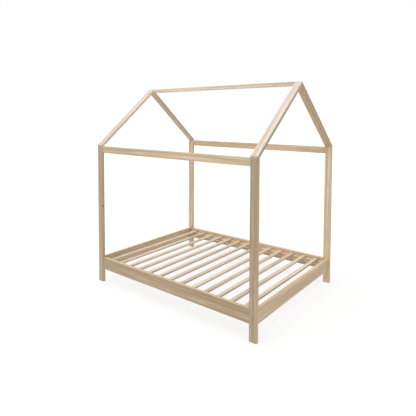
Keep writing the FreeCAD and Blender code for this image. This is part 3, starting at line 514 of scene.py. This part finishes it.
def pine(name, board, tone, pinkness, narrow_face_paint, knots):
    """Planed, unfinished pine: tone is its mean colour, pinkness how far its patches turn pink.

    Narrow face paint is how much lighter or darker the narrow long faces are painted beside the wide ones:
    painted light and shade.
    """
    dice = random.Random(name)
    material, tree, surface = new_material(name)
    local = board_coordinates(tree, board)
    cores, rims, bend = add_knots(tree, local, knots)

    grain = add_node(tree, "ShaderNodeGroup", node_tree=GRAIN)
    feed(tree, grain.inputs["Vector"], local)
    grain.inputs["Shift"].default_value = [dice.uniform(*PATTERN_SHIFTS) for _ in range(3)]
    pith_side = dice.choice((-1, 1))
    pith_shift = dice.uniform(*PITH_SHIFTS)
    pith_depth = dice.uniform(*PITH_DEPTHS)
    grain.inputs["Pith"].default_value = (0, pith_shift, pith_side * pith_depth)
    grain.inputs["Ring"].default_value = dice.uniform(*RING_WIDTHS)
    feed(tree, grain.inputs["Bend"], bend)
    late, streak, patch, fibre = (grain.outputs[key] for key in ("Late", "Streak", "Patch", "Fibre"))

    late_wood = shade(tone, LATE_WOOD)
    pink_wood = shade(tone, PINK_WOOD)
    pale_wood = shade(tone, PALE_WOOD)
    dull_wood = shade(tone, DULL_WOOD)
    colour = mix_colours(tree, between(tree, streak, *STREAK_RANGE, 0.0, 1.0), pale_wood, dull_wood)
    colour = mix_colours(tree, between(tree, patch, *PATCH_RANGE, 0.0, pinkness), colour, pink_wood)
    colour = mix_colours(tree, math_node(tree, "MULTIPLY", late, LATE_STRENGTH), colour, late_wood)
    fibre_shade = grey(tree, between(tree, fibre, *NOISE_NARROW, *FIBRE_SHADES))
    colour = mix_colours(tree, 1.0, colour, fibre_shade, blend="MULTIPLY")
    # Painted light and shade: the narrow long faces are made lighter or darker by the board's factor.
    narrow = face_mask(tree, board.turn.col[1])
    painted_narrow_light_and_shade = grey(tree, between(tree, narrow, 0, 1, 1.0, narrow_face_paint))
    colour = mix_colours(tree, 1.0, colour, painted_narrow_light_and_shade, blend="MULTIPLY")
    # Paler rounded long edges: partly sanded wood, partly a painted highlight where the edges catch the
    # light.
    sanded_and_highlit = edge_mask(tree, local, board)
    colour = mix_colours(tree, math_node(tree, "MULTIPLY", sanded_and_highlit, SANDED_AND_HIGHLIGHT_STRENGTH), colour, pale_wood)
    ends = face_mask(tree, board.turn.col[0])
    colour = mix_colours(tree, math_node(tree, "MULTIPLY", ends, END_STRENGTH), colour, late_wood)
    if knots:
        core_share = math_node(tree, "MULTIPLY", cores, KNOT_CORE_STRENGTH)
        rim_share = math_node(tree, "MULTIPLY", rims, KNOT_RIM_STRENGTH)
        colour = mix_colours(tree, core_share, colour, KNOT_CORE)
        colour = mix_colours(tree, rim_share, colour, KNOT_RIM)
    feed(tree, surface.inputs["Base Color"], colour)

    rough = between(tree, fibre, *NOISE_WIDE, *PINE_ROUGHNESS)
    rough = math_node(tree, "SUBTRACT", rough, math_node(tree, "MULTIPLY", late, LATE_SMOOTHER))
    rough = math_node(tree, "SUBTRACT", rough, math_node(tree, "MULTIPLY", sanded_and_highlit, SANDED_SMOOTHER))
    feed(tree, surface.inputs["Roughness"], rough)
    surface.inputs["Specular IOR Level"].default_value = PINE_SPECULAR
    height = math_node(tree, "ADD", math_node(tree, "MULTIPLY", late, LATE_RELIEF_SHARE),
                       math_node(tree, "MULTIPLY", fibre, FIBRE_RELIEF_SHARE))
    add_bump(tree, surface, height, *PINE_RELIEF)
    return material


# ---------------------------------------------------------------- the other materials

def plug_wood(name, tone):
    """The face of a small wooden plug, with its own fine rings."""
    material, tree, surface = new_material(name)
    where = add_node(tree, "ShaderNodeTexCoord").outputs["Object"]
    rings = noise(tree, where, PLUG_RING_SPOTS, detail=3.0)
    patches = noise(tree, where, PLUG_PATCH_SPOTS, detail=1.0)
    dark = shade(tone, PLUG_RINGS)
    ring_share = between(tree, rings, *PLUG_RING_RANGE, 0.0, PLUG_RING_STRENGTH)
    colour = mix_colours(tree, ring_share, tone, dark)
    patch_share = between(tree, patches, *PLUG_PATCH_RANGE, 0.0, PLUG_PATCH_STRENGTH)
    colour = mix_colours(tree, patch_share, colour, dark)
    feed(tree, surface.inputs["Base Color"], colour)
    feed(tree, surface.inputs["Roughness"], between(tree, rings, *NOISE_WIDE, *PLUG_ROUGHNESS))
    add_bump(tree, surface, rings, *PLUG_RELIEF)
    return material


def zinc(name):
    """Zinc-plated steel, a little uneven and scuffed."""
    material, tree, surface = new_material(name)
    where = add_node(tree, "ShaderNodeTexCoord").outputs["Object"]
    cloud = noise(tree, where, ZINC_CLOUD_SPOTS, detail=3.0)
    scuff = noise(tree, where, ZINC_SCUFF_SPOTS, detail=4.0, roughness=0.7)
    cloud_share = between(tree, cloud, *ZINC_CLOUD_RANGE, 0.0, 1.0)
    colour = mix_colours(tree, cloud_share, ZINC_BRIGHT, ZINC_DULL)
    scuff_share = between(tree, scuff, *ZINC_SCUFF_RANGE, 0.0, ZINC_SCUFF_STRENGTH)
    colour = mix_colours(tree, scuff_share, colour, ZINC_SCUFF)
    feed(tree, surface.inputs["Base Color"], colour)
    surface.inputs["Metallic"].default_value = 1.0
    feed(tree, surface.inputs["Roughness"], between(tree, scuff, *NOISE_NARROW, *ZINC_ROUGHNESS))
    add_bump(tree, surface, scuff, *ZINC_RELIEF)
    return material


def dress(name, material):
    """Give a node its material."""
    mesh = nodes[name].data
    mesh.materials.clear()
    mesh.materials.append(material)


# ---------------------------------------------------------------- dressing the bed

def board_tone(lightness, warmth):
    """PINE made lighter or darker, and warmer (more orange) or cooler (paler)."""
    green = lightness * (1 - WARMTH_GREEN * warmth)
    blue = lightness * (1 - WARMTH_BLUE * warmth)
    return shade(PINE, (lightness, green, blue))


def dress_board(name, board, wood, narrow_face_paint, knots):
    """One of the tones of pine on a board."""
    lightness, warmth, pinkness = WOODS[wood]
    dress(name, pine(name, board, board_tone(lightness, warmth), pinkness, narrow_face_paint, knots))


def dress_slat(name):
    """A slat's own shade of pine."""
    dice = random.Random(name + " tone")
    tone = board_tone(dice.uniform(*SLAT_LIGHTNESS), SLAT_WARMTH)
    dress(name, pine(name, upright_board(name), tone, dice.uniform(*SLAT_PINKNESS), UNPAINTED_NARROW_FACES, ()))


def dress_boards():
    """Pine on every board of the bed."""
    for name, (wood, narrow_face_paint, knots) in BOARDS.items():
        dress_board(name, upright_board(name), wood, narrow_face_paint, knots)
    for name, (side_y, wood, narrow_face_paint) in RAFTERS.items():
        dress_board(name, rafter_board(name, side_y), wood, narrow_face_paint, ())
    for name in sorted(nodes):
        if name.startswith("slat_") and name != "slat_screws":
            dress_slat(name)


def dress_fasteners():
    """Plugs, dowels and steel."""
    plug = plug_wood("pine_plug", PINE_PLUG)
    dowel = plug_wood("beech_dowel", BEECH)
    steel = zinc("zinc_steel")
    for name in ("bolt_plugs", "rafter_plugs", "ridge_plugs"):
        dress(name, plug)
    for name in ("rail_dowels", "roof_dowels"):
        dress(name, dowel)
    for name in ("long_bolts", "short_bolts", "barrel_nuts", "rafter_screws", "ridge_screws",
                 "ledger_screws", "slat_screws"):
        dress(name, steel)


# ---------------------------------------------------------------- studio

def seen_directly(tree):
    """1 for camera, mirror and transmission rays, 0 for the light that reaches matt surfaces."""
    path = add_node(tree, "ShaderNodeLightPath")
    mirror = math_node(tree, "MAXIMUM", path.outputs["Is Glossy Ray"], path.outputs["Is Transmission Ray"])
    return math_node(tree, "MAXIMUM", path.outputs["Is Camera Ray"], mirror)


def make_world():
    """A white surround that lights the bed softly."""
    world = bpy.data.worlds.new("studio")
    bpy.context.scene.world = world
    world.use_nodes = True
    tree = world.node_tree
    tree.nodes.clear()
    output = add_node(tree, "ShaderNodeOutputWorld")
    background = add_node(tree, "ShaderNodeBackground")
    background.inputs["Color"].default_value = (1, 1, 1, 1)
    strength = between(tree, seen_directly(tree), 0, 1, AMBIENT, 1.0)
    feed(tree, background.inputs["Strength"], strength)
    tree.links.new(background.outputs[0], output.inputs["Surface"])


def make_floor():
    """A plain pale floor that keeps the bed's soft shadow."""
    reach = FLOOR_REACH
    mesh = bpy.data.meshes.new("floor")
    corners = [(-reach, -reach, 0), (reach, -reach, 0), (reach, reach, 0), (-reach, reach, 0)]
    mesh.from_pydata(corners, [], [(0, 1, 2, 3)])
    floor = bpy.data.objects.new("floor", mesh)
    bpy.context.scene.collection.objects.link(floor)
    floor.location.z = -FLOOR_DROP
    material = bpy.data.materials.new("floor")
    material.use_nodes = True
    tree = material.node_tree
    tree.nodes.clear()
    output = add_node(tree, "ShaderNodeOutputMaterial")
    matt = add_node(tree, "ShaderNodeBsdfDiffuse")
    where = add_node(tree, "ShaderNodeTexCoord").outputs["Object"]
    distance = add_node(tree, "ShaderNodeVectorMath", operation="LENGTH")
    feed(tree, distance.inputs[0], where)
    away = distance.outputs["Value"]
    bounce = between(tree, away, BOUNCE_FROM, BOUNCE_TO, FLOOR_NEAR, FLOOR_FAR)
    seen = seen_directly(tree)
    feed(tree, matt.inputs["Color"], grey(tree, between(tree, seen, 0, 1, bounce, FLOOR_SEEN)))
    glow = add_node(tree, "ShaderNodeEmission")
    feed(tree, glow.inputs["Strength"], between(tree, away, GLOW_FROM, GLOW_TO, GLOW_NEAR, GLOW_FAR))
    blend = add_node(tree, "ShaderNodeMixShader")
    feed(tree, blend.inputs[0], math_node(tree, "MULTIPLY", seen, GLOW_SHARE))
    tree.links.new(matt.outputs[0], blend.inputs[1])
    tree.links.new(glow.outputs[0], blend.inputs[2])
    tree.links.new(blend.outputs[0], output.inputs["Surface"])
    mesh.materials.append(material)


def add_lamp(name, light, place, aim):
    """A lamp at a place, turned towards a point."""
    lamp = bpy.data.objects.new(name, light)
    bpy.context.scene.collection.objects.link(lamp)
    lamp.location = place
    lamp.rotation_euler = (Vector(aim) - Vector(place)).to_track_quat("-Z", "Y").to_euler()
    lamp.visible_camera = False


def make_lights():
    """A very soft light from overhead and a little in front, and three softboxes around the bed."""
    overhead = bpy.data.lights.new("overhead", "SUN")
    overhead.energy = OVERHEAD
    overhead.angle = OVERHEAD_SPREAD
    add_lamp("overhead", overhead, OVERHEAD_PLACE, (0, 0, 0))
    for name, (place, aim, size, power) in SOFTBOXES.items():
        softbox = bpy.data.lights.new(name, "AREA")
        softbox.shape = "SQUARE"
        softbox.size = size
        softbox.energy = power
        add_lamp(name, softbox, place, aim)


def make_camera():
    """The camera of the photograph."""
    lens = bpy.data.cameras.new("camera")
    lens.sensor_fit = "HORIZONTAL"
    lens.sensor_width = SENSOR_WIDTH
    lens.lens = FOCAL_PIXELS / IMAGE_SIZE * SENSOR_WIDTH
    lens.shift_y = LENS_AXIS_ROW / IMAGE_SIZE - 0.5
    lens.clip_end = CAMERA_REACH
    camera = bpy.data.objects.new("camera", lens)
    bpy.context.scene.collection.objects.link(camera)
    turn = (Matrix.Rotation(CAMERA_AZIMUTH, 4, "Z") @ Matrix.Rotation(math.pi / 2 - CAMERA_PITCH, 4, "X")
            @ Matrix.Rotation(CAMERA_ROLL, 4, "Z"))
    camera.matrix_world = Matrix.Translation(CAMERA_PLACE) @ turn
    bpy.context.scene.camera = camera


dress_boards()
dress_fasteners()
make_world()
make_floor()
make_lights()
make_camera()
bpy.context.scene.view_settings.view_transform = "Standard"
